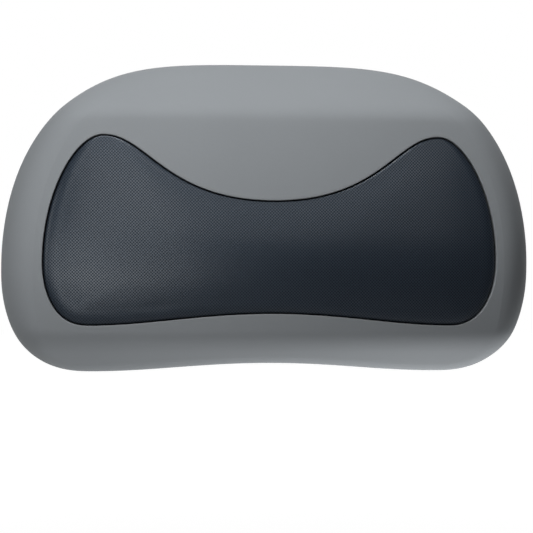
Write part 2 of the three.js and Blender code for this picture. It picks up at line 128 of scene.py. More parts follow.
def shade(piece):
    """Shade a piece smooth, but for its sharp edges."""
    pick(piece)
    bpy.ops.object.shade_smooth_by_angle(angle=SHARP_ANGLE)


def face_out(piece):
    """Merge doubles and turn every face of a closed piece outwards."""
    pick(piece)
    bpy.ops.object.mode_set(mode="EDIT")
    bpy.ops.mesh.select_all(action="SELECT")
    bpy.ops.mesh.remove_doubles(threshold=TOUCHING)
    bpy.ops.mesh.normals_make_consistent(inside=False)
    bpy.ops.object.mode_set(mode="OBJECT")


def turned(name, profile, sides=ROUND_SIDES):
    """Draw a round piece along Y: a disc is extruded and scaled from one (radius, y) to the next."""
    deselect_all()
    radius, y = profile[0]
    bpy.ops.mesh.primitive_circle_add(vertices=sides, radius=radius, fill_type="NGON",
                                      location=(0, y, 0), rotation=(math.pi / 2, 0, 0))
    piece = named(name)
    bpy.ops.object.mode_set(mode="EDIT")
    bpy.ops.mesh.select_all(action="SELECT")
    for next_radius, next_y in profile[1:]:
        growth = next_radius / radius
        bpy.ops.mesh.extrude_region_move(TRANSFORM_OT_translate={"value": (0, next_y - y, 0)})
        bpy.ops.transform.resize(value=(growth, 1, growth), center_override=(0, next_y, 0))
        radius, y = next_radius, next_y
    bpy.ops.object.mode_set(mode="OBJECT")
    face_out(piece)
    return piece


def wind_thread(piece, crest, root, pitch, start, stop):
    """Wind a helical ridge round a turned piece and join them. Its width is in shares of its pitch."""
    base = root - THREAD_SINK * pitch
    corners = [(base, -THREAD_FOOT), (crest, -THREAD_TIP), (crest, THREAD_TIP), (base, THREAD_FOOT)]
    deselect_all()
    bpy.ops.mesh.primitive_circle_add(vertices=len(corners), radius=pitch / 2)
    ridge = named("thread")
    for vertex, (radius, along) in zip(ridge.data.vertices, corners):
        vertex.co = (radius, start + along * pitch, 0)
    finish_with(ridge, "SCREW", axis="Y", angle=2 * math.pi, screw_offset=pitch,
                iterations=int((stop - start) / pitch), steps=ROUND_SIDES,
                render_steps=ROUND_SIDES)
    bpy.ops.object.mode_set(mode="EDIT")
    bpy.ops.mesh.select_all(action="SELECT")
    bpy.ops.mesh.remove_doubles(threshold=TOUCHING)
    bpy.ops.mesh.fill_holes(sides=0)
    bpy.ops.mesh.normals_make_consistent(inside=False)
    bpy.ops.object.mode_set(mode="OBJECT")
    shade(ridge)
    pick(piece)
    ridge.select_set(True)
    bpy.ops.object.join()


class Flow:
    """A socket in a material's nodes. Arithmetic on it adds Math nodes."""

    def __init__(self, tree, socket=None):
        self.tree = tree
        self.socket = socket

    def node(self, kind, settings=None, inputs=None, output=0):
        """Add a node: its settings first, then the values or links of its sockets."""
        made = self.tree.nodes.new("ShaderNode" + kind)
        for name, value in (settings or {}).items():
            setattr(made, name, value)
        for name, value in (inputs or {}).items():
            if isinstance(value, Flow):
                self.tree.links.new(value.socket, made.inputs[name])
            else:
                made.inputs[name].default_value = value
        return Flow(self.tree, made.outputs[output])

    def math(self, operation, *values):
        """A Math node on values, each a number or another flow."""
        return self.node("Math", {"operation": operation}, dict(enumerate(values)))

    def __add__(self, other):
        return self.math("ADD", self, other)

    __radd__ = __add__

    def __sub__(self, other):
        return self.math("SUBTRACT", self, other)

    def __rsub__(self, other):
        return self.math("SUBTRACT", other, self)

    def __mul__(self, other):
        return self.math("MULTIPLY", self, other)

    __rmul__ = __mul__

    def swing(self, spread):
        """This value, which runs from 0 to 1, made to swing about zero over a spread."""
        return spread * (self - 0.5)

    def axis(self, name):
        """One of the three numbers of a vector."""
        return self.node("SeparateXYZ", None, {0: self}, output=name)

    def mix(self, first, second):
        """Two colours mixed by this value, through the Mix node's colour sockets."""
        return self.node("Mix", {"data_type": "RGBA"}, {0: self, 6: first, 7: second}, output=2)


def new_material(name, **constants):
    """A material, its shader with constants set, and the places on its piece."""
    material = bpy.data.materials.new(name)
    material.use_nodes = True
    shader = material.node_tree.nodes["Principled BSDF"]
    for socket, value in constants.items():
        shader.inputs[socket.replace("_", " ")].default_value = value
    flow = Flow(material.node_tree)
    place = flow.node("TexCoord", output="Object")
    return material, shader, place


def feed(shader, **flows):
    """Link what changes over the surface to the shader's sockets."""
    for socket, flow in flows.items():
        flow.tree.links.new(flow.socket, shader.inputs[socket.replace("_", " ")])


def noise(place, size, detail=2.0, roughness=0.5):
    """Noise whose grains are about a size across."""
    return place.node("TexNoise", None, {
        "Vector": place, "Scale": 1 / size, "Detail": detail, "Roughness": roughness})


def bump(height, depth, strength=1.0):
    """A normal bumped by a height from 0 to 1, so many metres deep."""
    return height.node("Bump", None, {"Height": height, "Distance": depth, "Strength": strength})


def tone(colour, share):
    """A colour made darker or paler, as a share of itself."""
    return tuple(share * c for c in colour[:3]) + (1,)


def moulded_plastic(name, colour, roughness, grain):
    """Injection-moulded plastic: an even colour, a spark-eroded grain and faint flow marks."""
    material, shader, place = new_material(name, Base_Color=colour, IOR=PLASTIC_IOR)
    dark, pale = [tone(colour, share) for share in PLASTIC_SHADES]
    cloud = noise(place, FLOW_MARK, detail=3)
    fine = noise(place, grain, roughness=0.6)
    feed(shader, Base_Color=cloud.mix(dark, pale),
         Roughness=roughness + fine.swing(GRAIN_ROUGHNESS) + cloud.swing(FLOW_ROUGHNESS),
         Normal=bump(fine, GRAIN_DEPTH, GRAIN_BUMP))
    return material


def on_both_lines(pattern, name, body, slot, material, node):
    """Copy a piece modelled on the Y axis to both pins' lines and put it in its CAD node's place."""
    for side in SIDES:
        piece = pattern.copy()
        piece.data = pattern.data.copy()
        bpy.context.collection.objects.link(piece)
        piece.name = piece.data.name = f"{name}_{side}"
        piece.data.transform(Matrix.Translation((PIN_LINE[side], 0, 0)))
        fit(piece, body, slot, material, f"{node}_{side}")
    bpy.data.objects.remove(pattern)


def fit(piece, body, slot, material, *nodes):
    """Give a piece its finish, hang it on its body's empty and hide the CAD parts it stands for."""
    piece.data.materials.clear()
    piece.data.materials.append(material)
    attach(piece, body)
    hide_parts(*nodes)


grey_plastic = moulded_plastic("grey_plastic", GREY_PLASTIC, SOCKET_ROUGHNESS, SOCKET_GRAIN)
socket = turned("socket", [
    (BORE_RADIUS, CUP_FLOOR),
    (BORE_RADIUS, RING_PLACE + RING_ROOM),
    (RING_SEAT, RING_PLACE + RING_ROOM),
    (RING_SEAT, RING_PLACE - RING_ROOM),
    (BORE_RADIUS, RING_PLACE - RING_ROOM),
    (BORE_RADIUS, FLANGE_FRONT + BORE_LEAD_IN),
    (BORE_RADIUS + BORE_LEAD_IN, FLANGE_FRONT),
    (FLANGE_RADIUS, FLANGE_FRONT),
    (FLANGE_RADIUS, FLANGE_BACK),
    (THREAD_ROOT, FLANGE_BACK),
    (THREAD_ROOT, SOCKET_END),
    (END_DISH_RADIUS, SOCKET_END),
    (END_DISH_RADIUS - END_DISH_DEPTH, SOCKET_END - END_DISH_DEPTH),
    (GATE_RADIUS, SOCKET_END - END_DISH_DEPTH),
    (GATE_RADIUS, SOCKET_END - END_DISH_DEPTH / 2),
])
soften(socket, SOFT_EDGE)
wind_thread(socket, THREAD_CREST, THREAD_ROOT, THREAD_PITCH, THREAD_START, THREAD_STOP)
on_both_lines(socket, "tub_socket", "tub_sockets", "grey_plastic", grey_plastic, "socket")

# Socket gaskets: flat rings cut from black rubber sheet, squeezed between flange and shell.
# Each is a tube given its wall, with the edges eased where the squeeze rounds them.
GAP = 0.3 * MM
GASKET_RADIUS = FLANGE_RADIUS
GASKET_BORE = THREAD_CREST + GAP
GASKET_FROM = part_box("socket_gasket_left")[0].y
GASKET_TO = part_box("socket_gasket_left")[1].y
GASKET_EDGE = 0.25 * MM
BLACK_RUBBER = (0.008, 0.0085, 0.0095, 1)
RUBBER_IOR = 1.5
RUBBER_ROUGHNESS = 0.72
CHALK_SHADE = 2.4
BLOOM_PATCH = 5 * MM
BLOOM_ROUGHNESS = 0.2
RUBBER_GRAIN = 0.3 * MM
RUBBER_GRAIN_DEPTH = 0.04 * MM
RUBBER_BUMP = 0.5


def flat_ring(name, bore, radius, start, stop, edge):
    """A washer-like ring along Y: an open tube given its wall and eased edges."""
    deselect_all()
    bpy.ops.mesh.primitive_cylinder_add(vertices=ROUND_SIDES, radius=radius, depth=stop - start,
                                        end_fill_type="NOTHING", location=(0, (start + stop) / 2, 0),
                                        rotation=(math.pi / 2, 0, 0))
    piece = named(name)
    finish_with(piece, "SOLIDIFY", thickness=radius - bore, offset=-1, use_rim=True)
    face_out(piece)
    soften(piece, edge, segments=3)
    return piece


def rubber(name, colour):
    """Black rubber: nearly black, dull, with a chalky bloom in patches."""
    material, shader, place = new_material(name, Base_Color=colour, IOR=RUBBER_IOR)
    bloom = noise(place, BLOOM_PATCH, detail=4, roughness=0.6)
    grain = noise(place, RUBBER_GRAIN)
    chalk = tone(colour, CHALK_SHADE)
    feed(shader, Base_Color=bloom.mix(colour, chalk),
         Roughness=RUBBER_ROUGHNESS + bloom.swing(BLOOM_ROUGHNESS),
         Normal=bump(grain, RUBBER_GRAIN_DEPTH, RUBBER_BUMP))
    return material


black_rubber = rubber("black_rubber", BLACK_RUBBER)
gasket = flat_ring("gasket", GASKET_BORE, GASKET_RADIUS, GASKET_FROM, GASKET_TO, GASKET_EDGE)
on_both_lines(gasket, "gasket", "tub_sockets", "black_rubber", black_rubber, "socket_gasket")

# Socket nuts: black plastic hexagon nuts that clamp the tub's shell from behind.
# A hexagonal bar is turned to a chamfer at both ends and bored through.
NUT_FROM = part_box("socket_nut_left")[0].y
NUT_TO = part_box("socket_nut_left")[1].y
NUT_FLATS = 32 * MM
HEXAGON = 6
NUT_CORNER = NUT_FLATS / 2 / math.cos(math.pi / HEXAGON)
NUT_CHAMFER = 1.5 * MM
NUT_BORE = THREAD_CREST + GAP
NUT_SIDES = 96
CUT_PAST = 1 * MM
BLACK_PLASTIC = (0.0115, 0.0125, 0.0135, 1)
NUT_ROUGHNESS = 0.46
NUT_GRAIN = 0.3 * MM


def work(piece, tool, operation):
    """Join a piece with a tool, cut the tool out of it, or keep what they share."""
    finish_with(piece, "BOOLEAN", operation=operation, solver="EXACT", object=tool)
    bpy.data.objects.remove(tool)


def rod(radius, start, stop, place=(0, 0), sides=ROUND_SIDES):
    """A plain cylinder along Y, to join or cut with, at a place across and up."""
    deselect_all()
    bpy.ops.mesh.primitive_cylinder_add(vertices=sides, radius=radius, depth=stop - start,
                                        location=(place[0], (start + stop) / 2, place[1]),
                                        rotation=(math.pi / 2, 0, 0))
    return named("rod")


black_plastic = moulded_plastic("black_plastic", BLACK_PLASTIC, NUT_ROUGHNESS, NUT_GRAIN)
nut = turned("nut", [
    (NUT_CORNER - NUT_CHAMFER, NUT_FROM),
    (NUT_CORNER, NUT_FROM + NUT_CHAMFER),
    (NUT_CORNER, NUT_TO - NUT_CHAMFER),
    (NUT_CORNER - NUT_CHAMFER, NUT_TO),
], sides=NUT_SIDES)
work(nut, rod(NUT_CORNER, NUT_FROM - CUT_PAST, NUT_TO + CUT_PAST, sides=HEXAGON), "INTERSECT")
work(nut, rod(NUT_BORE, NUT_FROM - CUT_PAST, NUT_TO + CUT_PAST), "DIFFERENCE")
soften(nut, SOFT_EDGE)
on_both_lines(nut, "nut", "tub_sockets", "black_plastic", black_plastic, "socket_nut")

# Snap rings: black elastomer rings that sit in the sockets' grooves and grip the pins' necks.
# Each is moulded in two halves, which leaves a fine flash line round the outside and inside.
RING_SECTION = 1.7 * MM
RING_RADIUS = 6.5 * MM
RING_SEGMENTS = 24
FLASH = 0.12 * MM

deselect_all()
bpy.ops.mesh.primitive_torus_add(major_radius=RING_RADIUS, minor_radius=RING_SECTION - FLASH,
                                 major_segments=ROUND_SIDES, minor_segments=RING_SEGMENTS,
                                 location=(0, RING_PLACE, 0), rotation=(math.pi / 2, 0, 0))
ring = named("ring")
bpy.ops.object.mode_set(mode="EDIT")
cage = bmesh.from_edit_mesh(ring.data)
for vertex in cage.verts:
    away = math.hypot(vertex.co.x, vertex.co.z) - RING_RADIUS
    if abs(vertex.co.y - RING_PLACE) < TOUCHING:
        reach = 1 + math.copysign(FLASH, away) / math.hypot(vertex.co.x, vertex.co.z)
        vertex.co.x *= reach
        vertex.co.z *= reach
bmesh.update_edit_mesh(ring.data)
bpy.ops.object.mode_set(mode="OBJECT")
shade(ring)
on_both_lines(ring, "snap_ring_seal", "tub_sockets", "black_rubber", black_rubber, "snap_ring")

# Anchor plate: a black plastic tray in the foam's back, whose rim the foam holds all round.
# It has a round well for each socket's flange, with a hole for the pin's screw in its floor.
# The foam grows through the holes in its rim when it is moulded on.
PANEL_WIDTH = 189 * MM
PANEL_HEIGHT = 48 * MM
PANEL_CORNER = 8 * MM
PLATE_WALL = 3 * MM
RIM_WIDTH = 12 * MM
RIM_BACK = 3.3 * MM
RIM_FRONT = RIM_BACK + PLATE_WALL
WELL_RADIUS = 17 * MM
BOSS_RADIUS = 19.5 * MM
BOSS_BACK = 1 * MM
WELL_FLOOR = 6.1 * MM
BOSS_FRONT = WELL_FLOOR + PLATE_WALL
SCREW_HOLE = 2.8 * MM
KEY_RADIUS = 3.5 * MM
KEY_ROW = 30 * MM
KEY_STEP = 60 * MM
KEY_SIDES = 24
CORNER_SEGMENTS = 8
KEY_PLACES = [(step * KEY_STEP, row) for step in (-1, 0, 1) for row in (-KEY_ROW, KEY_ROW)]


def panel(name, growth, back, front):
    """A flat block with the exposed panel's outline, grown all round, between two depths."""
    deselect_all()
    bpy.ops.mesh.primitive_cube_add(size=1, location=(0, -(back + front) / 2, 0))
    bpy.context.object.scale = (PANEL_WIDTH + 2 * growth, front - back, PANEL_HEIGHT + 2 * growth)
    block = named(name)
    bpy.ops.object.mode_set(mode="EDIT")
    bpy.ops.mesh.select_mode(type="EDGE")
    bpy.ops.mesh.select_all(action="DESELECT")
    cage = bmesh.from_edit_mesh(block.data)
    for edge in cage.edges:
        along = edge.verts[0].co - edge.verts[1].co
        edge.select_set(abs(along.y) > abs(along.x) + abs(along.z))
    bmesh.update_edit_mesh(block.data)
    bpy.ops.mesh.bevel(offset=PANEL_CORNER + growth, segments=CORNER_SEGMENTS, affect="EDGES")
    bpy.ops.object.mode_set(mode="OBJECT")
    return block


plate = panel("back_plate", 0, 0, RIM_FRONT)
work(plate, panel("rim", RIM_WIDTH, RIM_BACK, RIM_FRONT), "UNION")
work(plate, panel("hollow", -PLATE_WALL, PLATE_WALL, RIM_FRONT + CUT_PAST), "DIFFERENCE")
for x in PIN_LINE.values():
    work(plate, rod(BOSS_RADIUS, -BOSS_FRONT, -BOSS_BACK, (x, 0)), "UNION")
    work(plate, rod(WELL_RADIUS, -WELL_FLOOR, CUT_PAST, (x, 0)), "DIFFERENCE")
    work(plate, rod(SCREW_HOLE, -BOSS_FRONT - CUT_PAST, 0, (x, 0)), "DIFFERENCE")
for key in KEY_PLACES:
    work(plate, rod(KEY_RADIUS, -RIM_FRONT - CUT_PAST, 0, key, sides=KEY_SIDES), "DIFFERENCE")
soften(plate, SOFT_EDGE)
fit(plate, "headrest", "black_plastic", black_plastic, "anchor_plate")

# Snap pins: grey plastic studs with a collar, a waist for the snap ring and a bullet nose.
# Each stands in its well and is held by a screw from the foam side.
PIN_SHANK = 6 * MM
PIN_NECK = 4.5 * MM
PIN_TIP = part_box("pin_left")[1].y
COLLAR_RADIUS = 9 * MM
COLLAR_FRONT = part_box("pin_left")[0].y
COLLAR_BACK = COLLAR_FRONT + 1.8 * MM
NECK_HALF = 2.5 * MM
NECK_TAPER = 1.5 * MM
HEAD_BAND = 1.5 * MM
NOSE_STEPS = 10
PIN_HOLE_END = 7.2 * MM
COLLAR_FILLET = 0.8 * MM

nose_start = RING_PLACE + NECK_HALF + NECK_TAPER + HEAD_BAND
nose = []
for step in range(1, NOSE_STEPS):
    turn = step / NOSE_STEPS * math.pi / 2
    nose.append((PIN_SHANK * math.cos(turn), nose_start + (PIN_TIP - nose_start) * math.sin(turn)))
pin = turned("pin", [
    (SCREW_HOLE, PIN_HOLE_END),
    (SCREW_HOLE, COLLAR_FRONT),
    (COLLAR_RADIUS, COLLAR_FRONT),
    (COLLAR_RADIUS, COLLAR_BACK),
    (PIN_SHANK + COLLAR_FILLET, COLLAR_BACK),
    (PIN_SHANK, COLLAR_BACK + COLLAR_FILLET),
    (PIN_SHANK, RING_PLACE - NECK_HALF - NECK_TAPER),
    (PIN_NECK, RING_PLACE - NECK_HALF),
    (PIN_NECK, RING_PLACE + NECK_HALF),
    (PIN_SHANK, RING_PLACE + NECK_HALF + NECK_TAPER),
    (PIN_SHANK, nose_start),
    *nose,
])
soften(pin, SOFT_EDGE)
on_both_lines(pin, "snap_pin", "headrest", "grey_plastic", grey_plastic, "pin")

# Pin screws: stainless socket-head screws that pull each pin against the floor of its well.
# The head is turned, its hexagon pressed in and its thread wound on the shank.
SCREW_RADIUS = 2.5 * MM
SCREW_ROOT = 2.1 * MM
SCREW_PITCH = 0.8 * MM
HEAD_RADIUS = 4.75 * MM
HEAD_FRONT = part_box("pin_screw_left")[0].y
HEAD_BACK = HEAD_FRONT + 3.5 * MM
SCREW_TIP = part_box("pin_screw_left")[1].y
SCREW_CROWN = 1.2 * MM
CROWN_BREAK = 0.3 * SCREW_CROWN
SCREW_POINT = 0.6 * MM
SCREW_SIDES = 48
HEX_FLATS = 3 * MM
HEX_CORNER = HEX_FLATS / 2 / math.cos(math.pi / HEXAGON)
HEX_DEPTH = 2 * MM
FINE_EDGE = 0.15 * MM
STEEL = (0.52, 0.53, 0.54, 1)
STEEL_ROUGHNESS = 0.26
LATHE_LINE = 1.2 * MM
LATHE_SQUEEZE = 14
LATHE_ROUGHNESS = 0.2
LATHE_DEPTH = 0.01 * MM
LATHE_BUMP = 0.4
DULL_SHADE = 0.8
DULL_PATCH = 3 * MM


def turned_steel(name, colour):
    """Turned stainless steel: fine rings round the axis in its roughness and bump."""
    material, shader, place = new_material(name, Base_Color=colour, Metallic=1.0)
    rings = place.node("Mapping", None, {"Vector": place, "Scale": (1, LATHE_SQUEEZE, 1)})
    lines = noise(rings, LATHE_LINE, detail=3, roughness=0.7)
    cloud = noise(place, DULL_PATCH, detail=3)
    dull = tone(colour, DULL_SHADE)
    feed(shader, Base_Color=cloud.mix(dull, colour),
         Roughness=STEEL_ROUGHNESS + lines.swing(LATHE_ROUGHNESS),
         Normal=bump(lines, LATHE_DEPTH, LATHE_BUMP))
    return material


steel = turned_steel("stainless", STEEL)
screw = turned("screw", [
    (HEAD_RADIUS - SCREW_CROWN, HEAD_FRONT),
    (HEAD_RADIUS - CROWN_BREAK, HEAD_FRONT + CROWN_BREAK),
    (HEAD_RADIUS, HEAD_FRONT + SCREW_CROWN),
    (HEAD_RADIUS, HEAD_BACK),
    (SCREW_ROOT, HEAD_BACK),
    (SCREW_ROOT, SCREW_TIP - SCREW_POINT),
    (SCREW_ROOT - SCREW_POINT, SCREW_TIP),
], sides=SCREW_SIDES)
work(screw, rod(HEX_CORNER, HEAD_FRONT - CUT_PAST, HEAD_FRONT + HEX_DEPTH, sides=HEXAGON), "DIFFERENCE")
soften(screw, FINE_EDGE)
wind_thread(screw, SCREW_RADIUS, SCREW_ROOT, SCREW_PITCH, COLLAR_FRONT, SCREW_TIP - SCREW_POINT)
on_both_lines(screw, "socket_screw", "headrest", "stainless", steel, "pin_screw")

# Pin washers: stainless washers that spread each screw's pull on the plate's boss.
# Each is a flat ring like the gaskets, with finer edges.
WASHER_RADIUS = 6 * MM
WASHER_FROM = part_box("pin_washer_left")[0].y
WASHER_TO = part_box("pin_washer_left")[1].y

washer = flat_ring("washer", SCREW_HOLE, WASHER_RADIUS, WASHER_FROM, WASHER_TO, FINE_EDGE)
on_both_lines(washer, "washer", "headrest", "stainless", steel, "pin_washer")

# Cushion body: the grey pillow, moulded in one piece of integral-skin foam round the plate.
# Its front bows out, slopes back past a soft crease above and below, and rolls over at the edges.
# A recess in the front takes the pad, and a pocket in the back holds the plate.
BODY_HALF = 150 * MM
BODY_TOP = 88 * MM
BODY_LOW = -87 * MM
SHOULDER = (BODY_HALF - 36.7 * MM, BODY_TOP - 24 * MM)
SHOULDER_HEADING = -40.5
WIDEST = BODY_LOW + 55.4 * MM
CORNER_IN = 47.5 * MM
BOTTOM_ARCH = 5.5 * MM
BODY_DEPTH = 62 * MM
FOREMOST = -8 * MM
SIDE_FALL = 12 * MM
UPPER_FALL = 11 * MM
LOWER_FALL = 20 * MM
CREASE = BODY_TOP - 28.5 * MM
CREASE_BLEND = 6 * MM
TOP_SLOPE = 1.15
LOW_CREASE = BODY_LOW + 18.5 * MM
LOW_CREASE_BLEND = 7 * MM
LOW_SLOPE = 1.5
TOP_ROLL = 10 * MM
BOTTOM_ROLL = 5 * MM
SIDE_ROLL = 20 * MM
SIDE_ROLL_DEPTH = 33 * MM
BACK_ROLL = 6 * MM
BACK_SUPPORTS = (14 * MM, BACK_ROLL + 2 * MM)
PAD_HALF = BODY_HALF - 24.7 * MM
PAD_LOW = BODY_LOW + 27.7 * MM
PAD_WIDEST = PAD_LOW + 34.2 * MM
PAD_ARCH = 6.8 * MM
PAD_WAIST = 61.8 * MM
LOBE = (PAD_HALF - 33.2 * MM, BODY_TOP - 42.8 * MM)
PAD_CORNER_IN = 24.3 * MM
LIP_ROLL = 0.5 * MM
RECESS_FLOOR = 32 * MM
RECESS_SUPPORTS = (3 * MM, 9 * MM)
FLOOR_SUPPORT = 2 * MM
FOAM_LIP = 3 * MM
ARC_STEPS = 20
BACK_STEPS = 4
WALL_STEPS = 4
ROLL_STEPS = 8
FACE_STEPS = 26
LIP_STEPS = 3
GREY_FOAM = (0.264, 0.281, 0.296, 1)
FOAM_IOR = 1.45
FOAM_SHINE = 0.12
FOAM_ROUGHNESS = 0.62
FOAM_SHADES = (0.94, 1.06)
SHADE_PATCH = 60 * MM
PEBBLE = 0.9 * MM
PEBBLE_SHARE = 0.4
PEBBLE_ROUGHNESS = 0.12
PEBBLE_DEPTH = 0.05 * MM
PEBBLE_BUMP = 0.35


def outline(knots):
    """Points through knots of (x, z, heading, pull before, pull after), then their mirror image.

    The pulls are the lengths of the arcs' handles, as shares of the distances between knots.
    """
    half = []
    for (x, z, heading, _, pull), (next_x, next_z, next_heading, next_pull, _) in zip(knots, knots[1:]):
        start = Vector((x, z))
        stop = Vector((next_x, next_z))
        chord = (stop - start).length
        turn = math.radians(heading)
        next_turn = math.radians(next_heading)
        out = start + pull * chord * Vector((math.cos(turn), math.sin(turn)))
        back = stop - next_pull * chord * Vector((math.cos(next_turn), math.sin(next_turn)))
        half += interpolate_bezier(start, out, back, stop, ARC_STEPS + 1)[:-1]
    half.append(stop)
    return half + [Vector((-p.x, p.y)) for p in half[-2:0:-1]]


def outward(points):
    """The direction out of an outline at each of its points."""
    ways = []
    for i in range(len(points)):
        along = points[(i + 1) % len(points)] - points[i - 1]
        ways.append(Vector((-along.y, along.x)).normalized())
    return ways


def inset(points, distance):
    """An outline moved in by a distance."""
    return [p - distance * way for p, way in zip(points, outward(points))]


def soft_least(a, b, blend):
    """The lesser of two depths, with a rounded change from one to the other."""
    share = min(max(0.5 + 0.5 * (b - a) / blend, 0), 1)
    return b + (a - b) * share - blend * share * (1 - share)


def facing_depth(z):
    """Depth of the bowed front at a height, before its slopes are taken off."""
    if z > FOREMOST:
        return BODY_DEPTH - UPPER_FALL * ((z - FOREMOST) / (BODY_TOP - FOREMOST)) ** 2
    return BODY_DEPTH - LOWER_FALL * ((FOREMOST - z) / (FOREMOST - BODY_LOW)) ** 2


def front_depth(point):
    """Depth of the pillow's front ahead of its back at a point across and up."""
    top_slope = facing_depth(CREASE) - TOP_SLOPE * (point.y - CREASE)
    low_slope = facing_depth(LOW_CREASE) - LOW_SLOPE * (LOW_CREASE - point.y)
    upper = soft_least(facing_depth(point.y), top_slope, CREASE_BLEND)
    across = point.x / BODY_HALF
    return soft_least(upper, low_slope, LOW_CREASE_BLEND) - SIDE_FALL * across ** 2


def ring_of(points, depths):
    """A ring in space: points across and up, each at its depth ahead of the back."""
    return [Vector((p.x, -depth, p.y)) for p, depth in zip(points, depths)]


def loft(name, rings):
    """Skin rings of points, each to the next, and fill both ends with rungs from side to side."""
    skin = bmesh.new()
    rows = [[skin.verts.new(point) for point in ring] for ring in rings]
    count = len(rows[0])
    for behind, ahead in zip(rows, rows[1:]):
        for i in range(count):
            skin.faces.new((behind[i - 1], ahead[i - 1], ahead[i], behind[i]))
    for row in (rows[0], rows[-1]):
        for column in range(-count // 4, count // 4):
            across = count // 2 - column
            corners = [row[column], row[column + 1], row[across - 1], row[across]]
            skin.faces.new(list(dict.fromkeys(corners)))
    bmesh.ops.recalc_face_normals(skin, faces=skin.faces)
    mesh = bpy.data.meshes.new(name)
    skin.to_mesh(mesh)
    skin.free()
    piece = bpy.data.objects.new(name, mesh)
    bpy.context.collection.objects.link(piece)
    return piece


body_edge = outline([
    (0, BODY_TOP, 0, 0, 0.467),
    (*SHOULDER, SHOULDER_HEADING, 0.334, 0.267),
    (BODY_HALF, WIDEST, -90, 0.469, 0.385),
    (BODY_HALF - CORNER_IN, BODY_LOW, 180, 0.491, 0.366),
    (0, BODY_LOW + BOTTOM_ARCH, 180, 0.385, 0),
])
recess_edge = outline([
    (0, PAD_LOW + PAD_ARCH + PAD_WAIST, 0, 0, 0.595),
    (*LOBE, 0, 0.24, 0.2),
    (PAD_HALF, PAD_WIDEST, -90, 0.484, 0.294),
    (PAD_HALF - PAD_CORNER_IN, PAD_LOW, 180, 0.477, 0.311),
    (0, PAD_LOW + PAD_ARCH, 180, 0.385, 0),
])
body_ways = outward(body_edge)


def by_facing(ways, top, side, low):
    """A size for each point of an outline, by the way it faces there: up, sideways or down."""
    return [side + ((top if way.y > 0 else low) - side) * way.y ** 2 for way in ways]


def drawn_in(distances):
    """The pillow's outline moved in by a distance of its own at each point."""
    return [p - distance * way for p, way, distance in zip(body_edge, body_ways, distances)]


edge_count = len(body_edge)
roll_widths = by_facing(body_ways, TOP_ROLL, SIDE_ROLL, BOTTOM_ROLL)
roll_depths = by_facing(body_ways, TOP_ROLL, SIDE_ROLL_DEPTH, BOTTOM_ROLL)
body_rings = []
for support in BACK_SUPPORTS:
    body_rings.append(ring_of(drawn_in([support] * edge_count), [0] * edge_count))
for step in range(BACK_STEPS + 1):
    turn = step / BACK_STEPS * math.pi / 2
    edge = drawn_in([BACK_ROLL * (1 - math.sin(turn))] * edge_count)
    body_rings.append(ring_of(edge, [BACK_ROLL * (1 - math.cos(turn))] * edge_count))
roll_start = [front_depth(p) - roll for p, roll in zip(body_edge, roll_depths)]
for step in range(1, WALL_STEPS):
    share = step / WALL_STEPS
    body_rings.append(ring_of(body_edge, [BACK_ROLL + (d - BACK_ROLL) * share for d in roll_start]))
for step in range(ROLL_STEPS + 1):
    turn = step / ROLL_STEPS * math.pi / 2
    edge = drawn_in([roll * (1 - math.cos(turn)) for roll in roll_widths])
    depths = [front_depth(p) - roll * (1 - math.sin(turn)) for p, roll in zip(edge, roll_depths)]
    body_rings.append(ring_of(edge, depths))
roll_end = drawn_in(roll_widths)
lip = inset(recess_edge, -LIP_ROLL)
for step in range(1, FACE_STEPS):
    edge = [p.lerp(q, step / FACE_STEPS) for p, q in zip(roll_end, lip)]
    body_rings.append(ring_of(edge, [front_depth(p) for p in edge]))
for step in range(LIP_STEPS + 1):
    turn = step / LIP_STEPS * math.pi / 2
    edge = inset(recess_edge, -LIP_ROLL * (1 - math.sin(turn)))
    body_rings.append(ring_of(edge, [front_depth(p) - LIP_ROLL * (1 - math.cos(turn)) for p in edge]))
for sink in RECESS_SUPPORTS:
    body_rings.append(ring_of(recess_edge, [front_depth(p) - LIP_ROLL - sink for p in recess_edge]))
for rise in (FLOOR_SUPPORT, 0):
    body_rings.append(ring_of(recess_edge, [RECESS_FLOOR + rise] * edge_count))
body_rings.append(ring_of(inset(recess_edge, FLOOR_SUPPORT), [RECESS_FLOOR] * edge_count))

pillow = loft("pillow", body_rings)
finish_with(pillow, "SUBSURF", levels=1, render_levels=1)

pocket_floor = RIM_FRONT + GAP
pocket = panel("pocket", GAP, -CUT_PAST, pocket_floor)
work(pocket, panel("undercut", RIM_WIDTH + GAP, FOAM_LIP, pocket_floor), "UNION")
work(pocket, panel("plug", -PLATE_WALL - GAP, PLATE_WALL + GAP, pocket_floor + CUT_PAST), "DIFFERENCE")
for key in KEY_PLACES:
    post = rod(KEY_RADIUS - GAP, -pocket_floor - CUT_PAST, -FOAM_LIP + CUT_PAST, key, sides=KEY_SIDES)
    work(pocket, post, "DIFFERENCE")
for x in PIN_LINE.values():
    work(pocket, rod(BOSS_RADIUS + GAP, -BOSS_FRONT - GAP, CUT_PAST, (x, 0)), "UNION")
    work(pocket, rod(WASHER_RADIUS + GAP, HEAD_FRONT - GAP, 0, (x, 0)), "UNION")
work(pillow, pocket, "DIFFERENCE")
shade(pillow)


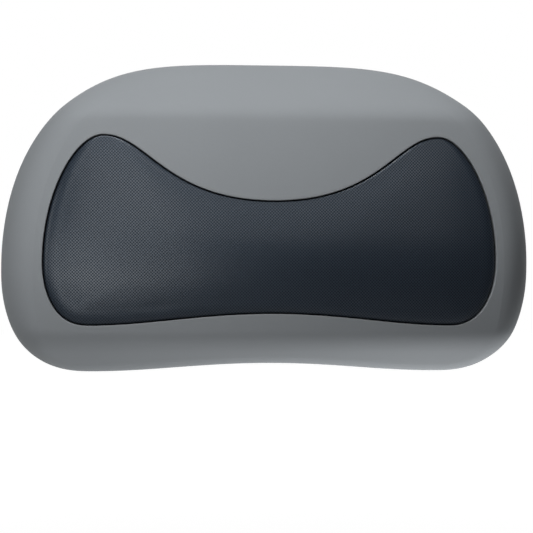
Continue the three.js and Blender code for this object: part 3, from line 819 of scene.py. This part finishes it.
def foam_skin(name, colour):
    """Skinned foam: a matte grey with a faint pebble and a slow change of shade."""
    material, shader, place = new_material(name, Base_Color=colour, IOR=FOAM_IOR,
                                           Specular_IOR_Level=FOAM_SHINE)
    cloud = noise(place, SHADE_PATCH, detail=3)
    pebble = noise(place, PEBBLE, roughness=0.6)
    dark, pale = [tone(colour, share) for share in FOAM_SHADES]
    paleness = (1 - PEBBLE_SHARE) * cloud + PEBBLE_SHARE * pebble
    feed(shader, Base_Color=paleness.mix(dark, pale),
         Roughness=FOAM_ROUGHNESS + pebble.swing(PEBBLE_ROUGHNESS),
         Normal=bump(pebble, PEBBLE_DEPTH, PEBBLE_BUMP))
    return material


grey_foam = foam_skin("grey_foam", GREY_FOAM)
fit(pillow, "headrest", "grey_foam", grey_foam, "cushion_body")

# Pad board: a stiff black board, cut to the pad's outline, that the cover is wrapped on.
# It lies on the recess's floor and is glued there.
GROOVE = 0.7 * MM
COVER_THICKNESS = 1.4 * MM
BOARD_BACK = RECESS_FLOOR + GAP
BOARD_THICKNESS = 3 * MM
BOARD_BLACK = (0.02, 0.0215, 0.023, 1)
BOARD_ROUGHNESS = 0.66
BOARD_GRAIN = 0.6 * MM

board_edge = inset(recess_edge, GROOVE + COVER_THICKNESS + GAP)
deselect_all()
bpy.ops.mesh.primitive_circle_add(vertices=edge_count, radius=PAD_HALF, fill_type="NGON",
                                  location=(0, -BOARD_BACK, 0), rotation=(math.pi / 2, 0, 0))
board = named("board")
for vertex, point in zip(board.data.vertices, board_edge):
    vertex.co = (point.x, -BOARD_BACK, point.y)
bpy.ops.object.mode_set(mode="EDIT")
bpy.ops.mesh.select_all(action="SELECT")
bpy.ops.mesh.extrude_region_move(TRANSFORM_OT_translate={"value": (0, -BOARD_THICKNESS, 0)})
bpy.ops.object.mode_set(mode="OBJECT")
face_out(board)
soften(board, SOFT_EDGE)
black_board = moulded_plastic("board", BOARD_BLACK, BOARD_ROUGHNESS, BOARD_GRAIN)
fit(board, "headrest", "board", black_board, "pad_board")

# Pad foam: soft cream foam, cut and skived to the pad's crown, glued on the board.
# The cover hides it, so only its shape and its open cells are made.
PAD_CROWN = 1.5 * MM
PAD_TOP_SINK = 0.8 * MM
PAD_SIDE_SINK = 0 * MM
PAD_LOW_SINK = -0.8 * MM
PAD_TOP_ROLL = 0.5 * MM
PAD_SIDE_ROLL = 8 * MM
PAD_LOW_ROLL = 8 * MM
PAD_TOP_ROLL_DEPTH = 0.5 * MM
PAD_SIDE_ROLL_DEPTH = 2.2 * MM
PAD_LOW_ROLL_DEPTH = 2.4 * MM
PAD_INNER_ROLL = 0.4 * MM
PAD_FULLNESS = 2.5
PAD_BACK_SUPPORT = 2 * MM
PAD_WALL_SHARES = (0.5, 0.8, 0.95)
PAD_ROLL_STEPS = 8
PAD_TOP_RINGS = 16
RIDGE_IN = 50 * MM
RIDGE_SHARE = (PAD_HALF - RIDGE_IN) / PAD_HALF
CREAM_FOAM = (0.68, 0.62, 0.5, 1)
CREAM_ROUGHNESS = 0.95
# How much darker the pores are painted, as the shade that falls in them.
PORE_PAINTED_SHADE = 0.55
FOAM_CELL = 1.1 * MM
FOAM_CELL_DEPTH = 0.3 * MM
FOAM_CELL_BUMP = 0.6


def pad_rings(skin, back):
    """Rings of the pad from its back over its rolled edge to its ridge, one skin in from its outside."""
    wall = inset(recess_edge, GROOVE + skin)
    ways = outward(wall)
    sinks = [skin + sink for sink in by_facing(ways, PAD_TOP_SINK, PAD_SIDE_SINK, PAD_LOW_SINK)]
    roll_widths = by_facing(ways, PAD_TOP_ROLL, PAD_SIDE_ROLL, PAD_LOW_ROLL)
    roll_depths = by_facing(ways, PAD_TOP_ROLL_DEPTH, PAD_SIDE_ROLL_DEPTH, PAD_LOW_ROLL_DEPTH)
    widths = [max(roll - skin, PAD_INNER_ROLL) for roll in roll_widths]
    drops = [max(roll - skin, PAD_INNER_ROLL) for roll in roll_depths]
    rings = []
    for rise in (0, PAD_BACK_SUPPORT):
        rings.append(ring_of(wall, [back + rise] * edge_count))
    side = [front_depth(p) - sink - drop for p, sink, drop in zip(wall, sinks, drops)]
    for share in PAD_WALL_SHARES:
        rings.append(ring_of(wall, [back + (d - back) * share for d in side]))
    for step in range(PAD_ROLL_STEPS + 1):
        turn = step / PAD_ROLL_STEPS * math.pi / 2
        edge = [p - width * (1 - math.cos(turn)) * way for p, way, width in zip(wall, ways, widths)]
        lows = [sink + drop * (1 - math.sin(turn)) for sink, drop in zip(sinks, drops)]
        rings.append(ring_of(edge, [front_depth(p) - low for p, low in zip(edge, lows)]))
    roll_end = [p - width * way for p, way, width in zip(wall, ways, widths)]
    ridge = [Vector((p.x * RIDGE_SHARE, PAD_WIDEST)) for p in roll_end]
    for step in range(1, PAD_TOP_RINGS):
        share = step / PAD_TOP_RINGS
        fullness = 1 - (1 - share) ** PAD_FULLNESS
        top = [p.lerp(q, share) for p, q in zip(roll_end, ridge)]
        rises = [(PAD_CROWN - skin + sink) * fullness - sink for sink in sinks]
        rings.append(ring_of(top, [front_depth(p) + rise for p, rise in zip(top, rises)]))
    return rings


def open_foam(name, colour):
    """Open-cell foam: a cream colour, with painted shade darkening its pores."""
    material, shader, place = new_material(name, Base_Color=colour, Roughness=CREAM_ROUGHNESS)
    cells = place.node("TexVoronoi", None, {"Vector": place, "Scale": 1 / FOAM_CELL})
    # The pores are painted darker, as shade inside the cells.
    painted_pore_shade = tone(colour, PORE_PAINTED_SHADE)
    feed(shader, Base_Color=cells.mix(painted_pore_shade, colour), Normal=bump(cells, FOAM_CELL_DEPTH, FOAM_CELL_BUMP))
    return material


core = loft("pad_core", pad_rings(COVER_THICKNESS + GAP, BOARD_BACK + BOARD_THICKNESS + GAP))
shade(core)
fit(core, "headrest", "soft_foam", open_foam("soft_foam", CREAM_FOAM), "pad_foam")

# Pad cover: dark vinyl with a fine embossed diamond weave, stretched over the foam.
# It is wrapped down the sides to the board, and the foam's push swells it into a soft crown.
# The swell is found on a plain cloth copy, held at its edge, which draws the cover and foam along.
CLOTH_CELL = 4 * MM
CLOTH_PRESSURE = 4
CLOTH_FRAMES = 20
SWELL = 1.8 * MM
HELD_MARGIN = 4 * MM
HELD_DEPTH = 2 * MM
WEAVE_PITCH = 1.7 * MM
# Shares of the colour for the painted shade in the weave's grooves and the painted highlight on its dots.
WEAVE_PAINTED_LIGHT = (0.55, 1.45)
WEAVE_ROUGHNESS = 0.2
WEAVE_DEPTH = 0.1 * MM
DOT_FROM = 0.25
DOT_TO = 0.75
DARK_VINYL = (0.019, 0.0263, 0.038, 1)
VINYL_IOR = 1.5
VINYL_SHINE = 0.36
VINYL_ROUGHNESS = 0.33
SHEEN_TINT = (0.65, 0.82, 1, 1)
POLISH_IOR = 1.65
POLISH_ROUGHNESS = 0.28
VINYL_GRAIN = 0.5 * MM
VINYL_GRAIN_ROUGHNESS = 0.06
VINYL_GRAIN_SHARE = 0.15
VINYL_PATCH = 40 * MM
VINYL_PATCH_SHARE = 0.15


def hold_edge(cloth):
    """Pin a cloth's sides and back, and its face near the pad's edge."""
    edge = KDTree(len(recess_edge))
    for index, point in enumerate(recess_edge):
        edge.insert((point.x, point.y, 0), index)
    edge.balance()
    held = cloth.vertex_groups.new(name="held")
    for vertex in cloth.data.vertices:
        place = Vector((vertex.co.x, vertex.co.z))
        near = edge.find((place.x, place.y, 0))[2] < HELD_MARGIN
        if near or -vertex.co.y < front_depth(place) - HELD_DEPTH:
            held.add([vertex.index], 1.0, "REPLACE")


def swell(cloth, followers):
    """Blow a closed cloth form out by a set height, and let pieces follow its face."""
    for piece in followers:
        pick(piece)
        bpy.ops.object.modifier_add(type="SURFACE_DEFORM")
        piece.modifiers[-1].target = cloth
        bpy.ops.object.surfacedeform_bind(modifier=piece.modifiers[-1].name)
    before = [vertex.co.copy() for vertex in cloth.data.vertices]
    pick(cloth)
    bpy.ops.object.modifier_add(type="CLOTH")
    pressed = cloth.modifiers[-1].settings
    pressed.use_pressure = True
    pressed.uniform_pressure_force = CLOTH_PRESSURE
    pressed.effector_weights.gravity = 0
    pressed.vertex_group_mass = "held"
    for step in range(1, CLOTH_FRAMES + 1):
        bpy.context.scene.frame_set(step)
    bpy.ops.object.modifier_apply(modifier=cloth.modifiers[-1].name)
    bpy.context.scene.frame_set(1)
    highest = max((vertex.co - start).length for vertex, start in zip(cloth.data.vertices, before))
    for vertex, start in zip(cloth.data.vertices, before):
        vertex.co = start.lerp(vertex.co, min(1, SWELL / highest))
    for piece in followers:
        pick(piece)
        bpy.ops.object.modifier_apply(modifier=piece.modifiers[-1].name)


skin_inside = pad_rings(COVER_THICKNESS, BOARD_BACK)
skin_outside = pad_rings(0, BOARD_BACK)
cover = loft("pad_skin", skin_inside[::-1] + skin_outside)
cloth = loft("cloth", skin_outside)
finish_with(cloth, "REMESH", mode="VOXEL", voxel_size=CLOTH_CELL)
finish_with(cloth, "TRIANGULATE")
hold_edge(cloth)
swell(cloth, [cover, core])
bpy.data.objects.remove(cloth)
finish_with(cover, "SUBSURF", levels=1, render_levels=1)
shade(cover)


def embossed_vinyl(name, colour):
    """Dark vinyl: an egg-crate weave pressed into a satin skin, polished on its high dots, with a painted
    highlight on the dots and painted shade in the grooves.
    """
    material, shader, place = new_material(name, Base_Color=colour, IOR=VINYL_IOR,
                                           Specular_IOR_Level=VINYL_SHINE, Specular_Tint=SHEEN_TINT,
                                           Coat_IOR=POLISH_IOR, Coat_Roughness=POLISH_ROUGHNESS)
    across = place.axis("X")
    up = place.axis("Z")
    turn = 2 * math.pi / WEAVE_PITCH
    rising = place.math("COSINE", turn * (across + up))
    falling = place.math("COSINE", turn * (across - up))
    # Each wave runs from -1 to 1, and the weave from 0 to 1.
    weave = 0.5 + 0.25 * (rising + falling)
    grain = noise(place, VINYL_GRAIN)
    cloud = noise(place, VINYL_PATCH, detail=3)
    dots = place.node("MapRange", {"interpolation_type": "SMOOTHSTEP"}, {
        "Value": weave, "From Min": DOT_FROM, "From Max": DOT_TO})
    # The weave's colour is painted light: its high dots are paler as a highlight and its grooves darker
    # as shade. The slow patches mixed in are the vinyl's own tone.
    dark, pale = [tone(colour, share) for share in WEAVE_PAINTED_LIGHT]
    paleness = (1 - VINYL_PATCH_SHARE) * weave + VINYL_PATCH_SHARE * cloud
    feed(shader, Base_Color=paleness.mix(dark, pale), Coat_Weight=dots,
         Roughness=VINYL_ROUGHNESS - weave.swing(WEAVE_ROUGHNESS) + grain.swing(VINYL_GRAIN_ROUGHNESS),
         Normal=bump(weave + VINYL_GRAIN_SHARE * grain, WEAVE_DEPTH))
    return material


fit(cover, "headrest", "dark_vinyl", embossed_vinyl("dark_vinyl", DARK_VINYL), "pad_cover")

# Floor, light and camera: a plain pale floor below the headrest and a white sweep behind it.
# Soft boxes hang round it: a key over its left, others above, beside, in front and under, one behind.
# The camera stands where the photograph's did.
FLOOR_DROP = 0.45
FLOOR_SIZE = 14
FLOOR_PALE = (0.3, 0.3, 0.3, 1)
FLOOR_ROUGHNESS = 0.9
FLOOR_GLOW = 0.88
GLOW_FROM = 0.5
GLOW_TO = 2.0
SWEEP_EDGE = 0.5
AMBIENT = 0.02
LAMP_AIM = Vector((0, -0.03, 0))
# Each lamp's place, its width and its power in watts.
LAMPS = {
    "key": ((-0.15, -0.35, 0.5), 0.3, 2.15),
    "over": ((0.1, -0.1, 0.5), 0.3, 0.61),
    "over_right": ((0.3, -0.1, 0.5), 0.3, 0.42),
    "side_left": ((-0.5, -0.2, 0), 0.3, 0.345),
    "near_high": ((-0.15, -0.4, 0.1), 0.2, 0.185),
    "near_low": ((-0.15, -0.4, -0.1), 0.2, 0.14),
    "near_left": ((-0.3, -0.4, -0.1), 0.2, 0.135),
    "near_below": ((-0.22, -0.45, -0.27), 0.24, 0.15),
    "near_middle": ((0, -0.4, 0.1), 0.2, 0.055),
    "front_high": ((0.25, -0.6, 0.35), 0.3, 0.21),
    "front_right": ((0.35, -0.85, 0.15), 0.36, 0.205),
    "under": ((0.15, 0.1, -0.34), 0.2, 1.26),
    "back": ((0, 1, 0.1), 0.6, 8),
}
VIEW_AIM = Vector((1.55, 0, -27.2)) * MM
VIEW_YAW = math.radians(-5)
VIEW_PITCH = math.radians(0.7)
VIEW_ROLL = math.radians(0.2)
VIEW_DISTANCE = 918.3 * MM
VIEW_LENS = 106.6


def shown_as_white(flow, behind):
    """1 for rays that see the white sweep: the camera's own, and mirrored or bent ones that go behind."""
    seen = flow.node("LightPath", output="Is Camera Ray")
    mirrored = flow.node("LightPath", output="Is Glossy Ray")
    bent = flow.node("LightPath", output="Is Transmission Ray")
    return seen.math("MAXIMUM", seen, (mirrored + bent) * behind)


deselect_all()
bpy.ops.mesh.primitive_plane_add(size=FLOOR_SIZE, location=(0, 0, -FLOOR_DROP))
floor = named("floor")
paper, paper_shader, place = new_material("paper", Base_Color=FLOOR_PALE, Roughness=FLOOR_ROUGHNESS,
                                          Specular_IOR_Level=0.0, Emission_Strength=1.0)
away = place.node("VectorMath", {"operation": "LENGTH"}, {0: place}, output="Value")
far = place.node("MapRange", {"interpolation_type": "SMOOTHSTEP"}, {
    "Value": away, "From Min": GLOW_FROM, "From Max": GLOW_TO, "To Min": FLOOR_GLOW, "To Max": 1.0})
behind = place.math("GREATER_THAN", place.axis("Y"), 0.0)
glow = far * shown_as_white(place, behind)
feed(paper_shader, Emission_Color=glow.node("CombineColor", None, {0: glow, 1: glow, 2: glow}))
floor.data.materials.append(paper)

world = bpy.data.worlds.new("studio")
bpy.context.scene.world = world
world.use_nodes = True
air = Flow(world.node_tree)
way = air.node("TexCoord", output="Generated")
behind = air.node("MapRange", {"interpolation_type": "SMOOTHSTEP"}, {
    "Value": way.axis("Y"), "From Min": 0.0, "From Max": SWEEP_EDGE})
bright = AMBIENT + (1 - AMBIENT) * shown_as_white(air, behind)
background = world.node_tree.nodes["Background"]
background.inputs["Color"].default_value = (1, 1, 1, 1)
world.node_tree.links.new(bright.socket, background.inputs["Strength"])

for name, (spot, width, watts) in LAMPS.items():
    lamp = bpy.data.lights.new(name, "AREA")
    lamp.shape = "SQUARE"
    lamp.size = width
    lamp.energy = watts
    holder = bpy.data.objects.new(name, lamp)
    bpy.context.collection.objects.link(holder)
    holder.location = spot
    holder.rotation_mode = "QUATERNION"
    holder.rotation_quaternion = (LAMP_AIM - Vector(spot)).to_track_quat("-Z", "Y")
    holder.visible_camera = False
    # The lamp underneath only fills, and no surface mirrors it.
    holder.visible_glossy = name != "under"

camera = bpy.data.cameras.new("camera")
camera.lens = VIEW_LENS
viewer = bpy.data.objects.new("camera", camera)
bpy.context.collection.objects.link(viewer)
ahead = Vector((-math.sin(VIEW_YAW), math.cos(VIEW_YAW), -math.tan(VIEW_PITCH))).normalized()
viewer.location = VIEW_AIM - VIEW_DISTANCE * ahead
viewer.rotation_mode = "QUATERNION"
viewer.rotation_quaternion = ahead.to_track_quat("-Z", "Y") @ Quaternion((0, 0, 1), VIEW_ROLL)
bpy.context.scene.camera = viewer
bpy.context.scene.view_settings.view_transform = "Standard"
